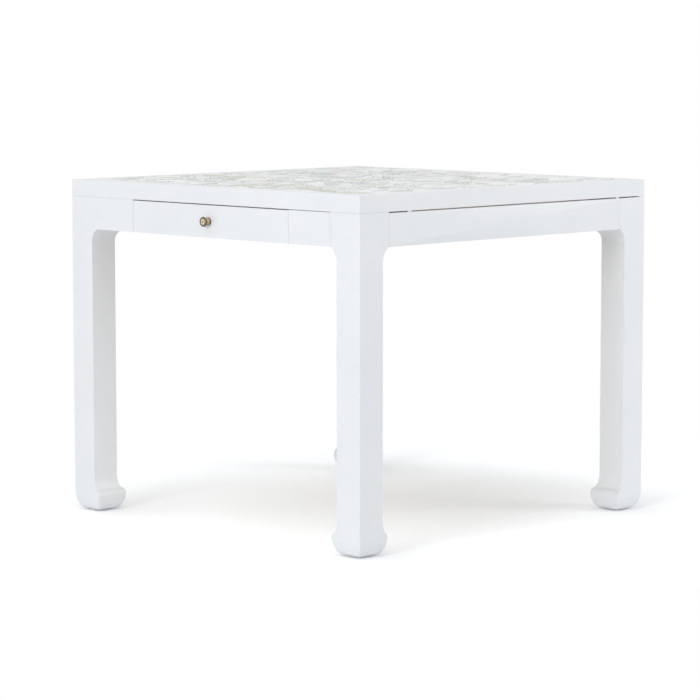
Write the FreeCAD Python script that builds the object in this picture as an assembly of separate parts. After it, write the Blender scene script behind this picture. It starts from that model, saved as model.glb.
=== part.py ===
"""Square games table in white lacquer, with shouldered legs on hoof feet and two drawers.

Frame: millimetres, +Z up, origin on the floor under the middle of the top.
The front drawer faces -Y and the rear drawer faces +Y.
"""

import FreeCAD, Part
import math
import os

V = FreeCAD.Vector
ORIGIN = V(0, 0, 0)
UP = V(0, 0, 1)

# Whole table
table_side = 914.0
table_height = 752.0
top_thickness = 37.0
apron_drop = 109.0              # top surface down to the aprons' lower edge
shadow_gap = 2.5                # dark line between the top and the side aprons
short_apron_gap = 1.0           # the same over the front right and rear left aprons
fit_gap = 0.1                   # round a dowel or screw in its hole
overrun = 5.0                   # every cutting tool runs this far past the wood

# Top
border_width = 38.0
inlay_thickness = 3.0
inlay_gap = 0.3

# Legs, as distances in from the outer faces and up from the floor
leg_width = 68.0
shoulder_width = 86.0
shoulder_curve_height = 29.0
hoof_width = 83.0
hoof_widest_height = 37.0
hoof_crease_width = 73.5
hoof_crease_height = 51.0
hoof_flare_height = 80.0
sole_inset = 16.0
sole_radius = 34.0
sole_bulge = 9.5
sole_round_radius = 59.2
sole_round_height = 56.0
pad_radius = 24.0
pad_thickness = 3.0
leg_rebate_depth = 20.0
leg_rebate_margin = 21.0

# Aprons
apron_thickness = 22.0
short_apron_width = 123.7       # from a leg to the drawer opening
spacer_width = 10.0
spacer_inset = 1.0
spacer_depth = 18.0
near_spacer_place = 62.0        # from the front end of the right apron
far_spacer_place = 8.0          # from its rear end

# Dowels
dowel_radius = 4.0
dowel_length = 40.0
dowel_edge = 17.0               # from the upper and lower edges of an apron
stub_dowel_bite = 14.0
guide_dowel_bite = 12.0

# Corner blocks with their hanger bolts
leg_flat_cut = 14.0
block_air = 3.0
block_thickness = 18.0
block_height = 60.0
bolt_radius = 4.0
bolt_bite = 40.0
bolt_spare = 3.0
bolt_tip_chamfer = 1.0
washer_radius = 10.0
washer_thickness = 1.6
nut_across_flats = 13.0
nut_height = 6.5
block_screw_bite = 15.0

# Guides, the rail between them and the runners
guide_thickness = 20.0
guide_lift = 5.0                # above the aprons' lower edge
rail_thickness = 24.0
runner_height = 12.0
runner_depth = 6.5
runner_middle_clearance = 4.0
runner_screw_margin = 30.0
runner_screw_bite = 15.0
runner_screws_each = 3

# Screws
screw_shank_radius = 2.2
screw_head_radius = 4.5
screw_head_height = 2.8
small_shank_radius = 1.6
small_head_radius = 3.0
small_head_height = 2.0
top_screw_length = 50.0
top_screw_bite = 24.0
block_top_screw_offset = 28.0
guide_top_screw_place = 250.0

# Drawers
drawer_side_gap = 0.8           # with the drawer in the middle of its opening
drawer_set_over = 0.5           # how far each drawer sits to its right of the middle
drawer_top_gap = 2.0
drawer_rail_gap = 55.0          # behind a closed drawer
drawer_side_thickness = 14.0
drawer_side_lift = 3.0          # side above the lower edge of the face
drawer_side_headroom = 4.5      # side below the underside of the top
tail_depth = 16.0
tail_count = 3
tail_width_share = 0.7
tail_slope_share = 1 / 7
runner_groove_depth = 7.5
runner_top_gap = 0.3
runner_under_gap = 0.5
runner_groove_end = 12.0        # wood left between the groove and the drawer face
runner_groove_lift = 35.0       # groove's lower wall above the side's lower edge
stop_gap = 0.3
drawer_back_thickness = 12.0
drawer_back_setback = 4.0
drawer_back_dado = 5.0
drawer_back_headroom = 4.0
bottom_thickness = 6.0
bottom_lift = 8.0               # above the sides' lower edge
bottom_tongue = 6.0             # edge of the panel held in its groove
bottom_slot_gap = 0.2
bottom_screw_length = 18.0
bottom_screw_spacing = 150.0
bottom_screw_count = 3

# Knobs
knob_drop = 74.0                # below the top surface
knob_projection = 18.0
knob_head_radius = 10.8
knob_head_thickness = 6.0
knob_rim_width = 2.5
knob_face_recess = 0.8
knob_disc_radius = 7.2
knob_dimple_radius = 2.2
knob_dimple_depth = 1.4
knob_neck_radius = 4.0
knob_neck_flare = 4.0
knob_base_radius = 8.5
knob_base_thickness = 2.2
knob_base_step = 1.5
knob_bore_depth = 9.0
knob_screw_radius = 2.0
knob_screw_head_radius = 4.5
knob_screw_head_height = 2.5
knob_screw_bite = 8.0

# Places worked out from the sizes above
half = table_side / 2
top_under = table_height - top_thickness
apron_foot = table_height - apron_drop
lowered_top = top_under - shadow_gap
apron_inside = half - apron_thickness
apron_middle = half - apron_thickness / 2
shoulder_inside = half - shoulder_width
opening_half = shoulder_inside - short_apron_width
guide_foot = apron_foot + guide_lift
guide_middle = opening_half + guide_thickness / 2
dowel_heights = (apron_foot + dowel_edge, lowered_top - dowel_edge)
bolt_height = (dowel_heights[0] + dowel_heights[1]) / 2
block_foot = top_under - block_height
leg_flat = 2 * shoulder_width - leg_flat_cut
block_outer = leg_flat + block_air * math.sqrt(2)
block_inner = block_outer + block_thickness * math.sqrt(2)
top_screw_seat = top_under + top_screw_bite - top_screw_length
drawer_half = opening_half - drawer_side_gap
drawer_end = -rail_thickness / 2 - drawer_rail_gap
side_foot = apron_foot + drawer_side_lift
side_head = top_under - drawer_side_headroom
groove_foot = side_foot + runner_groove_lift
runner_foot = groove_foot + runner_under_gap
groove_head = runner_foot + runner_height + runner_top_gap
groove_start = runner_groove_end - apron_inside
runner_start = groove_start + stop_gap
runner_end = -rail_thickness / 2 - runner_middle_clearance
panel_foot = side_foot + bottom_lift
panel_head = panel_foot + bottom_thickness
back_near = drawer_end - drawer_back_setback - drawer_back_thickness
back_far = drawer_end - drawer_back_setback
knob_height = table_height - knob_drop


def box(x0, x1, y0, y1, z0, z1):
    return Part.makeBox(x1 - x0, y1 - y0, z1 - z0, V(x0, y0, z0))


def prism(points, along):
    """Solid swept from a flat polygon of points."""
    return Part.Face(Part.makePolygon(points + points[:1])).extrude(along)


def quarter_turned(shape, turns):
    """Copy of a shape turned about the table's upright axis."""
    copy = shape.copy()
    copy.rotate(ORIGIN, UP, 90 * turns)
    return copy


def opposite(shape):
    return quarter_turned(shape, 2)


def other_way_round(shape):
    """Mirror image of a shape across the plane between left and right."""
    return shape.mirror(ORIGIN, V(1, 0, 0))


def round_all(shape):
    """The four copies of a shape that stands at the front left corner."""
    return [quarter_turned(shape, turns) for turns in range(4)]


def both_ends(shapes):
    """A list of shapes with their opposite copies."""
    return shapes + [opposite(shape) for shape in shapes]


def upright_arc(upright, other):
    """Arc between two outline points, upright where it meets the first."""
    across = other.x - upright.x
    rise = other.z - upright.z
    radius = (across * across + rise * rise) / (2 * across)
    centre = V(upright.x + radius, 0, upright.z)
    towards = (upright + other) * 0.5 - centre
    middle = centre + towards.normalize() * abs(radius)
    return Part.Arc(upright, middle, other).toShape()


def bowed_arc(start, end, bulge):
    """Arc between two outline points that stands out from its chord by the bulge."""
    chord = end - start
    aside = V(chord.z, 0, -chord.x).normalize()
    middle = (start + end) * 0.5 + aside * bulge
    return Part.Arc(start, middle, end).toShape()


def line(start, end):
    return Part.LineSegment(start, end).toShape()


def revolved(edges):
    return Part.Face(Part.Wire(edges)).revolve(ORIGIN, UP, 360)


def pointed(shape, place, direction):
    """Copy of a shape drawn along +Z, moved to a place and turned to a direction."""
    copy = shape.copy()
    turn = FreeCAD.Rotation(UP, direction)
    copy.Placement = FreeCAD.Placement(place, turn).multiply(copy.Placement)
    return copy


def screw(shank_radius, head_radius, head_height, length):
    """Screw along +Z: the head's underside is at zero and the head hangs below it."""
    shank = Part.makeCylinder(shank_radius, length)
    head = Part.makeCylinder(head_radius, head_height, V(0, 0, -head_height))
    return shank.fuse(head).removeSplitter()


def screw_room(shank_radius, head_radius, length, pocket):
    """Hole for a screw, with a pocket below zero that its head goes in by."""
    shank = Part.makeCylinder(shank_radius + fit_gap, length + fit_gap)
    return shank.fuse(Part.makeCylinder(head_radius + fit_gap, pocket, V(0, 0, -pocket)))


def wood_screw(length):
    return screw(screw_shank_radius, screw_head_radius, screw_head_height, length)


def wood_screw_room(length, pocket):
    return screw_room(screw_shank_radius, screw_head_radius, length, pocket)


# The legs


def leg_outline():
    """Outline of a leg seen square on: x runs in from the outer face."""
    sole_outer = V(sole_inset, 0, pad_thickness)
    widest_outer = V(0, 0, hoof_widest_height)
    head_outer = V(0, 0, top_under)
    head_inner = V(shoulder_width, 0, top_under)
    shoulder = V(shoulder_width, 0, apron_foot)
    curve_end = V(leg_width, 0, apron_foot - shoulder_curve_height)
    flare_start = V(leg_width, 0, hoof_flare_height)
    crease = V(hoof_crease_width, 0, hoof_crease_height)
    widest_inner = V(hoof_width, 0, hoof_widest_height)
    sole_inner = V(hoof_width - sole_inset, 0, pad_thickness)
    return Part.Wire([
        upright_arc(widest_outer, sole_outer),
        line(widest_outer, head_outer),
        line(head_outer, head_inner),
        line(head_inner, shoulder),
        upright_arc(curve_end, shoulder),
        line(curve_end, flare_start),
        upright_arc(flare_start, crease),
        upright_arc(widest_inner, crease),
        upright_arc(widest_inner, sole_inner),
        line(sole_inner, sole_outer),
    ])


def sole_bowl():
    """Round form that blunts the corners of the hoof, more so towards the sole."""
    sole_edge = V(sole_radius, 0, pad_thickness)
    wide_edge = V(sole_round_radius, 0, sole_round_height)
    wide_head = V(table_side, 0, top_under + overrun)
    axis_head = V(0, 0, top_under + overrun)
    axis_foot = V(0, 0, pad_thickness)
    bowl = revolved([
        line(axis_foot, sole_edge),
        bowed_arc(sole_edge, wide_edge, sole_bulge),
        line(wide_edge, wide_head),
        line(wide_head, axis_head),
        line(axis_head, axis_foot),
    ])
    bowl.translate(V(hoof_width / 2, hoof_width / 2, 0))
    return bowl


def leg_body():
    """The carved leg at the front left corner: two crossed outlines with blunted corners."""
    widest = max(shoulder_width, hoof_width)
    one_way = Part.Face(leg_outline()).extrude(V(0, widest, 0))
    other_way = one_way.mirror(ORIGIN, V(1, -1, 0))
    body = one_way.common(other_way).common(sole_bowl())
    body.translate(V(-half, -half, 0))
    return body


def leg_flat_tool():
    """Cuts the flat that the hanger bolt stands on off the leg's inner corner."""
    near = leg_flat - shoulder_width
    far = shoulder_width + overrun
    foot = block_foot
    points = [V(near - overrun, far, foot), V(far, near - overrun, foot), V(far, far, foot)]
    tool = prism(points, V(0, 0, top_under - foot + overrun))
    tool.translate(V(-half, -half, 0))
    return tool


def leg():
    holes = [hanger_bolt_room()] + leg_dowel_rooms()
    return leg_body().cut(leg_flat_tool()).cut(Part.makeCompound(holes))


def leg_rebate():
    """Carries the shadow line on over the rear right leg, short of the corner."""
    return box(half - leg_rebate_depth, half + overrun,
               shoulder_inside - overrun, half - leg_rebate_margin,
               lowered_top, top_under + overrun)


def foot_pad():
    centre = hoof_width / 2 - half
    return Part.makeCylinder(pad_radius, pad_thickness, V(centre, centre, 0))


# Dowels


def dowel(place, direction):
    return pointed(Part.makeCylinder(dowel_radius, dowel_length), place, direction)


def dowel_room(place, direction):
    shape = Part.makeCylinder(dowel_radius + fit_gap, dowel_length + 2 * fit_gap)
    return pointed(shape, place - direction * fit_gap, direction)


def leg_dowel_spots():
    """Starts and directions of the dowels between the front left leg and its aprons."""
    start = -shoulder_inside - dowel_length / 2
    spots = []
    for height in dowel_heights:
        spots.append((V(start, -apron_middle, height), V(1, 0, 0)))
        spots.append((V(-apron_middle, start, height), V(0, 1, 0)))
    return spots


def guide_dowel_spots():
    """Dowels between the front end of each guide and the apron beside the drawer."""
    start = -apron_inside - stub_dowel_bite
    spots = []
    for height in dowel_heights:
        for side in (-1, 1):
            spots.append((V(side * guide_middle, start, height), V(0, 1, 0)))
    return spots


def rail_dowel_spots():
    """Dowels between the right guide and the rail."""
    start = opening_half + guide_dowel_bite
    return [(V(start, 0, height), V(-1, 0, 0)) for height in dowel_heights]


def leg_dowel_rooms():
    return [dowel_room(*spot) for spot in leg_dowel_spots()]


def all_leg_dowels(make):
    shapes = []
    for spot in leg_dowel_spots():
        shapes += round_all(make(*spot))
    return shapes


def all_guide_dowels(make):
    return both_ends([make(*spot) for spot in guide_dowel_spots()])


def all_rail_dowels(make):
    return both_ends([make(*spot) for spot in rail_dowel_spots()])


def dowels():
    return all_leg_dowels(dowel) + all_guide_dowels(dowel) + all_rail_dowels(dowel)


# Corner blocks, hanger bolts and the screws that hold the blocks


def corner_place(along, height):
    """Point on the diagonal of the front left corner, where x and y come in alike."""
    inward = along / 2 - half
    return V(inward, inward, height)


DIAGONAL = V(1, 1, 0).normalize()


def hanger_bolt():
    length = bolt_bite + block_air + block_thickness + washer_thickness + nut_height + bolt_spare
    shank = Part.makeCylinder(bolt_radius, length - bolt_tip_chamfer)
    tip = Part.makeCone(bolt_radius, bolt_radius - bolt_tip_chamfer, bolt_tip_chamfer,
                        V(0, 0, length - bolt_tip_chamfer))
    start = corner_place(leg_flat, bolt_height) - DIAGONAL * bolt_bite
    return pointed(shank.fuse(tip).removeSplitter(), start, DIAGONAL)


def hanger_bolt_room():
    reach = bolt_bite + block_air + block_thickness + overrun
    shape = Part.makeCylinder(bolt_radius + fit_gap, reach + fit_gap)
    start = corner_place(leg_flat, bolt_height) - DIAGONAL * (bolt_bite + fit_gap)
    return pointed(shape, start, DIAGONAL)


def hanger_washer():
    ring = Part.makeCylinder(washer_radius, washer_thickness)
    ring = ring.cut(Part.makeCylinder(bolt_radius + fit_gap, washer_thickness))
    return pointed(ring, corner_place(block_inner, bolt_height), DIAGONAL)


def hanger_nut():
    reach = nut_across_flats / math.sqrt(3)
    corners = []
    for step in range(6):
        angle = math.radians(60 * step)
        corners.append(V(reach * math.cos(angle), reach * math.sin(angle), 0))
    nut = prism(corners, V(0, 0, nut_height))
    nut = nut.cut(Part.makeCylinder(bolt_radius + fit_gap, nut_height))
    place = corner_place(block_inner, bolt_height) + DIAGONAL * washer_thickness
    return pointed(nut, place, DIAGONAL)


def block_screw_spot():
    """Seat of the screw that runs from a block into the front apron."""
    along = (block_outer + block_inner) / 2 - apron_thickness
    depth = apron_thickness + (block_inner - block_outer) / 4
    return V(along - half, depth - half, bolt_height)


def block_screw_length():
    return block_screw_spot().y + apron_inside + block_screw_bite


def block_screw_pair(shape):
    """Places a screw or its hole in the front apron, and the same in the left one."""
    front = pointed(shape, block_screw_spot(), V(0, -1, 0))
    return [front, front.mirror(V(-half, -half, 0), V(1, -1, 0))]


def block_screws():
    shape = wood_screw(block_screw_length())
    return [turned for one in block_screw_pair(shape) for turned in round_all(one)]


def block_screw_rooms():
    shape = wood_screw_room(block_screw_length(), block_thickness)
    return block_screw_pair(shape)


def block_top_screw_spots():
    """Seats of the two upright screws in the front left block."""
    aside = V(1, -1, 0).normalize() * block_top_screw_offset
    middle = corner_place((block_outer + block_inner) / 2, top_screw_seat)
    return [middle + aside, middle - aside]


def guide_top_screw_spots():
    """Seats of the two upright screws in the right guide."""
    return [V(guide_middle, side * guide_top_screw_place, top_screw_seat) for side in (-1, 1)]


def top_screw_room():
    pocket = top_screw_seat - apron_foot
    return wood_screw_room(top_screw_length, pocket)


def all_top_screws(shape):
    shapes = []
    for spot in block_top_screw_spots():
        shapes += round_all(pointed(shape, spot, UP))
    return shapes + both_ends([pointed(shape, spot, UP) for spot in guide_top_screw_spots()])


def corner_block():
    """Brace across the front left corner, cut off at both aprons."""
    wall = apron_thickness
    points = [V(wall, block_outer - wall, block_foot), V(block_outer - wall, wall, block_foot),
              V(block_inner - wall, wall, block_foot), V(wall, block_inner - wall, block_foot)]
    block = prism(points, V(0, 0, block_height))
    block.translate(V(-half, -half, 0))
    rooms = [hanger_bolt_room()] + block_screw_rooms()
    rooms += [pointed(top_screw_room(), spot, UP) for spot in block_top_screw_spots()]
    return block.cut(Part.makeCompound(rooms))


# The aprons, guides, rail and runners


def apron_holes():
    """Every dowel and block screw hole that an apron or a guide may meet."""
    screws = [turned for one in block_screw_rooms() for turned in round_all(one)]
    return all_leg_dowels(dowel_room) + all_guide_dowels(dowel_room) + screws


def right_apron():
    board = box(apron_inside, half, -shoulder_inside, shoulder_inside, apron_foot, lowered_top)
    return board.cut(Part.makeCompound(apron_holes()))


def front_apron(x0, x1, head):
    """Short apron between a front leg and the drawer."""
    board = box(x0, x1, -half, -apron_inside, apron_foot, head)
    return board.cut(Part.makeCompound(apron_holes()))


def right_spacers():
    """Packing slips that hold the top clear of the right apron."""
    spacers = []
    for middle in (near_spacer_place - shoulder_inside, shoulder_inside - far_spacer_place):
        spacers.append(box(half - spacer_inset - spacer_depth, half - spacer_inset,
                           middle - spacer_width / 2, middle + spacer_width / 2,
                           lowered_top, top_under))
    return spacers


def right_guide():
    board = box(opening_half, opening_half + guide_thickness,
                -apron_inside, apron_inside, guide_foot, top_under)
    rooms = all_guide_dowels(dowel_room) + all_rail_dowels(dowel_room)
    rooms += [pointed(top_screw_room(), spot, UP) for spot in guide_top_screw_spots()]
    rooms += all_runner_screws(runner_screw_room())
    return board.cut(Part.makeCompound(rooms))


def middle_rail():
    board = box(-opening_half, opening_half, -rail_thickness / 2, rail_thickness / 2,
                guide_foot, top_under)
    return board.cut(Part.makeCompound(all_rail_dowels(dowel_room)))


def runner_screw_length():
    return runner_depth - small_head_height + runner_screw_bite


def runner_screw_room():
    return screw_room(small_shank_radius, small_head_radius, runner_screw_length(), runner_depth)


def front_right_runner_screws(shape):
    """Places a screw or its hole along the front right runner."""
    first = runner_start + runner_screw_margin
    last = runner_end - runner_screw_margin
    pitch = (last - first) / (runner_screws_each - 1)
    seat = opening_half - runner_depth + small_head_height
    height = runner_foot + runner_height / 2
    places = [V(seat, first + pitch * step, height) for step in range(runner_screws_each)]
    return [pointed(shape, place, V(1, 0, 0)) for place in places]


def all_runner_screws(shape):
    front_right = front_right_runner_screws(shape)
    front_left = [other_way_round(one) for one in front_right]
    return both_ends(front_right + front_left)


def front_right_runner():
    strip = box(opening_half - runner_depth, opening_half, runner_start, runner_end,
                runner_foot, runner_foot + runner_height)
    return strip.cut(Part.makeCompound(front_right_runner_screws(runner_screw_room())))


# The top


def top_core():
    reach = half - border_width
    panel = box(-reach, reach, -reach, reach, top_under, table_height - inlay_thickness)
    return panel.cut(Part.makeCompound(all_top_screws(top_screw_room())))


def front_lipping():
    """Mitred edge strip along the front of the top."""
    reach = half - border_width
    points = [V(-half, -half, top_under), V(half, -half, top_under),
              V(reach, -reach, top_under), V(-reach, -reach, top_under)]
    return prism(points, V(0, 0, top_thickness))


def top_inlay():
    reach = half - border_width - inlay_gap
    return box(-reach, reach, -reach, reach, table_height - inlay_thickness, table_height)


# The drawers: each piece is drawn for the front one


def dovetails():
    """Tails of the left side, wider towards the face of the drawer."""
    pitch = (side_head - side_foot) / tail_count
    wide = pitch * tail_width_share
    narrow = wide - 2 * tail_depth * tail_slope_share
    tip = -apron_inside - tail_depth
    tails = []
    for step in range(tail_count):
        middle = side_foot + pitch * (step + 0.5)
        points = [V(-drawer_half, -apron_inside, middle - narrow / 2),
                  V(-drawer_half, -apron_inside, middle + narrow / 2),
                  V(-drawer_half, tip, middle + wide / 2),
                  V(-drawer_half, tip, middle - wide / 2)]
        tails.append(prism(points, V(drawer_side_thickness, 0, 0)))
    return tails


def bottom_panel(gap):
    """The bottom, or with a gap the slot that holds it."""
    reach = drawer_half - drawer_side_thickness + bottom_tongue + gap
    front = -apron_inside - bottom_tongue - gap
    return box(-reach, reach, front, drawer_end, panel_foot - gap, panel_head + gap)


def knob_screw_room():
    shape = Part.makeCylinder(knob_screw_radius + fit_gap, apron_thickness + 2 * overrun)
    return pointed(shape, V(0, overrun - apron_inside, knob_height), V(0, -1, 0))


def drawer_face():
    board = box(-drawer_half, drawer_half, -half, -apron_inside,
                apron_foot, top_under - drawer_top_gap)
    tails = dovetails()
    tools = tails + [other_way_round(tail) for tail in tails]
    tools += [bottom_panel(bottom_slot_gap), knob_screw_room()]
    return board.cut(Part.makeCompound(tools))


def drawer_back_board(dado_gap):
    """The back, let into the sides; with a gap, the slots that it sits in."""
    reach = drawer_half - drawer_side_thickness + drawer_back_dado + dado_gap
    return box(-reach, reach, back_near, back_far, panel_head, side_head - drawer_back_headroom)


def left_drawer_side():
    inner = drawer_side_thickness - drawer_half
    board = box(-drawer_half, inner, -apron_inside, drawer_end, side_foot, side_head)
    board = board.fuse(dovetails()).removeSplitter()
    groove = box(-drawer_half - overrun, runner_groove_depth - drawer_half,
                 groove_start, drawer_end + overrun, groove_foot, groove_head)
    return board.cut([groove, bottom_panel(bottom_slot_gap), drawer_back_board(fit_gap)])


def bottom_screw_places():
    """Seats of the screws that go up through the bottom into the back."""
    first = -bottom_screw_spacing * (bottom_screw_count - 1) / 2
    middle = (back_near + back_far) / 2
    seat = panel_foot + small_head_height
    return [V(first + bottom_screw_spacing * step, middle, seat)
            for step in range(bottom_screw_count)]


def bottom_screws():
    shape = screw(small_shank_radius, small_head_radius, small_head_height, bottom_screw_length)
    return [pointed(shape, place, UP) for place in bottom_screw_places()]


def bottom_screw_rooms():
    shape = screw_room(small_shank_radius, small_head_radius, bottom_screw_length, overrun)
    return [pointed(shape, place, UP) for place in bottom_screw_places()]


def drawer_back():
    return drawer_back_board(0).cut(Part.makeCompound(bottom_screw_rooms()))


def drawer_bottom():
    return bottom_panel(0).cut(Part.makeCompound(bottom_screw_rooms()))


def knob():
    """Turned knob: a base, a hollow neck and a ringed head with a dimple."""
    head_foot = knob_projection - knob_head_thickness
    rim = knob_head_radius - knob_rim_width
    recess = knob_projection - knob_face_recess
    base_edge = V(knob_base_radius, 0, 0)
    base_shoulder = V(knob_base_radius, 0, knob_base_thickness / 2)
    base_top = V(knob_base_radius - knob_base_step, 0, knob_base_thickness)
    waist = V(knob_neck_radius, 0, (knob_base_thickness + head_foot) / 2)
    under_head = V(knob_neck_radius + knob_neck_flare, 0, head_foot)
    brim = V(knob_head_radius, 0, knob_projection - knob_head_thickness / 2)
    rim_face = V(rim, 0, knob_projection)
    disc_edge = V(knob_disc_radius, 0, recess)
    dimple_edge = V(knob_dimple_radius, 0, recess)
    dimple_foot = V(0, 0, recess - knob_dimple_depth)
    body = revolved([
        line(ORIGIN, base_edge),
        line(base_edge, base_shoulder),
        line(base_shoulder, base_top),
        Part.Arc(base_top, waist, under_head).toShape(),
        Part.Arc(under_head, brim, rim_face).toShape(),
        line(rim_face, disc_edge),
        line(disc_edge, dimple_edge),
        line(dimple_edge, dimple_foot),
        line(dimple_foot, ORIGIN),
    ])
    body = body.cut(Part.makeCylinder(knob_screw_radius + fit_gap, knob_bore_depth))
    return pointed(body, V(0, -half, knob_height), V(0, -1, 0))


def knob_screw():
    length = apron_thickness + knob_screw_bite
    shape = screw(knob_screw_radius, knob_screw_head_radius, knob_screw_head_height, length)
    return pointed(shape, V(0, -apron_inside, knob_height), V(0, -1, 0))


def front_drawer():
    """The pieces of the front drawer by name."""
    left_side = left_drawer_side()
    return {
        "drawer_face": drawer_face(),
        "drawer_side_left": left_side,
        "drawer_side_right": other_way_round(left_side),
        "drawer_back": drawer_back(),
        "drawer_bottom": drawer_bottom(),
        "drawer_bottom_screws": Part.makeCompound(bottom_screws()),
        "knob": knob(),
        "knob_screw": knob_screw(),
    }


# The whole table


def leg_nodes():
    plain = leg()
    corners = ("front_left", "front_right", "back_right", "back_left")
    nodes = {"leg_" + name: shape for name, shape in zip(corners, round_all(plain))}
    nodes["leg_back_right"] = nodes["leg_back_right"].cut(leg_rebate())
    nodes["leg_front_left"] = opposite(nodes["leg_back_right"])
    return nodes


def corner_block_nodes():
    corners = ("front_left", "front_right", "back_right", "back_left")
    return {"corner_block_" + name: shape for name, shape in zip(corners, round_all(corner_block()))}


def apron_nodes():
    right = right_apron()
    front_left = front_apron(-shoulder_inside, -opening_half, top_under)
    front_right = front_apron(opening_half, shoulder_inside, top_under - short_apron_gap)
    return {
        "apron_right": right,
        "apron_left": opposite(right),
        "apron_front_left": front_left,
        "apron_back_right": opposite(front_left),
        "apron_front_right": front_right,
        "apron_back_left": opposite(front_right),
    }


def carriage_nodes():
    """The guides, the rail and the runners that carry the drawers."""
    guide = right_guide()
    runner = front_right_runner()
    left_runner = other_way_round(runner)
    return {
        "guide_right": guide,
        "guide_left": opposite(guide),
        "middle_rail": middle_rail(),
        "runner_front_right": runner,
        "runner_front_left": left_runner,
        "runner_back_left": opposite(runner),
        "runner_back_right": opposite(left_runner),
    }


def top_nodes():
    sides = ("front", "right", "back", "left")
    nodes = {"lipping_" + name: shape for name, shape in zip(sides, round_all(front_lipping()))}
    nodes["top_core"] = top_core()
    nodes["top_inlay"] = top_inlay()
    return nodes


def fastener_nodes():
    """Groups of like small pieces."""
    runner_screw = screw(small_shank_radius, small_head_radius, small_head_height,
                         runner_screw_length())
    groups = {
        "dowels": dowels(),
        "hanger_bolts": round_all(hanger_bolt()),
        "hanger_washers": round_all(hanger_washer()),
        "hanger_nuts": round_all(hanger_nut()),
        "block_screws": block_screws(),
        "top_screws": all_top_screws(wood_screw(top_screw_length)),
        "runner_screws": all_runner_screws(runner_screw),
        "top_spacers": both_ends(right_spacers()),
        "foot_pads": round_all(foot_pad()),
    }
    return {name: Part.makeCompound(shapes) for name, shapes in groups.items()}


def drawer_nodes():
    """Both drawers, set over so that the gap on their right closes to a hair."""
    nodes = {}
    for name, shape in front_drawer().items():
        shape.translate(V(drawer_set_over, 0, 0))
        nodes["front_" + name] = shape
        nodes["back_" + name] = opposite(shape)
    return nodes


def build():
    nodes = {}
    for part in (leg_nodes, corner_block_nodes, apron_nodes, carriage_nodes, top_nodes,
                 fastener_nodes, drawer_nodes):
        nodes.update(part())
    os.makedirs("parts", exist_ok=True)
    for name, shape in nodes.items():
        shape.exportStep(f"parts/{name}.step")
        print(name, len(shape.Solids), "solids, valid", shape.isValid(), round(shape.Volume))


build()
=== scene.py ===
"""Looks of a square games table in white lacquer, with a patterned top and two drawers.

Frame: metres, +Z up, origin on the floor under the middle of the top. The front drawer faces -Y.
"""

import bpy
import math
import numpy as np
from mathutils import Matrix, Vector


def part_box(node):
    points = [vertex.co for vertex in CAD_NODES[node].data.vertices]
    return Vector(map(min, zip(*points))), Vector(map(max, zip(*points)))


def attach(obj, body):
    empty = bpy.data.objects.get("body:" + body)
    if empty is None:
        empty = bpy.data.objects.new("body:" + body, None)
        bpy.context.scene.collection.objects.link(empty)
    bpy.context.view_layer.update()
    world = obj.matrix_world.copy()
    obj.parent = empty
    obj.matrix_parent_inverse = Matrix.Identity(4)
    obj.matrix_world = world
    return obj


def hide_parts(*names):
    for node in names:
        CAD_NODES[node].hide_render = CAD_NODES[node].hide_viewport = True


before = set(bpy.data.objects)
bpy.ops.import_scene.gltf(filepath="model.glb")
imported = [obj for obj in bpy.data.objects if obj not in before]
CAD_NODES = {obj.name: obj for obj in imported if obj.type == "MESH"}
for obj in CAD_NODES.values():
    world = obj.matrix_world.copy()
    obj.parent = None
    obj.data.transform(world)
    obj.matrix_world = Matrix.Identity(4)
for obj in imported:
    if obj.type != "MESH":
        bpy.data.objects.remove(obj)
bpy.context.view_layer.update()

bl_info = {
    "name": "Games Table",
    "version": (1, 0, 0),
    "blender": (4, 5, 0),
    "location": "3D View > Sidebar > Games Table",
    "description": "Dresses a packed games table: lacquered legs, patterned top, drawers and knobs",
    "category": "Object",
}


def linear(code):
    """The four linear values of an sRGB hex colour."""
    levels = np.array([int(code[i:i + 2], 16) for i in (1, 3, 5)]) / 255
    curved = ((levels + 0.055) / 1.055) ** 2.4
    straight = levels / 12.92
    return [float(level) for level in np.where(levels > 0.04045, curved, straight)] + [1.0]


def edge(node, side, axis):
    """One face of a CAD node's box: side 0 is the low one and side 1 the high one."""
    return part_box(node)[side][axis]


# Sizes and colours that a user would change


def size(name, description, default):
    return bpy.props.FloatProperty(name=name, description=description, default=default,
                                   min=0.0, unit="LENGTH", precision=5)


def number(name, description, default):
    return bpy.props.FloatProperty(name=name, description=description, default=default)


def angle(name, description, default):
    return bpy.props.FloatProperty(name=name, description=description, subtype="ANGLE",
                                   default=math.radians(default))


def colour(name, description, code):
    return bpy.props.FloatVectorProperty(name=name, description=description, subtype="COLOR",
                                         size=4, min=0.0, max=1.0, default=linear(code))


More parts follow.
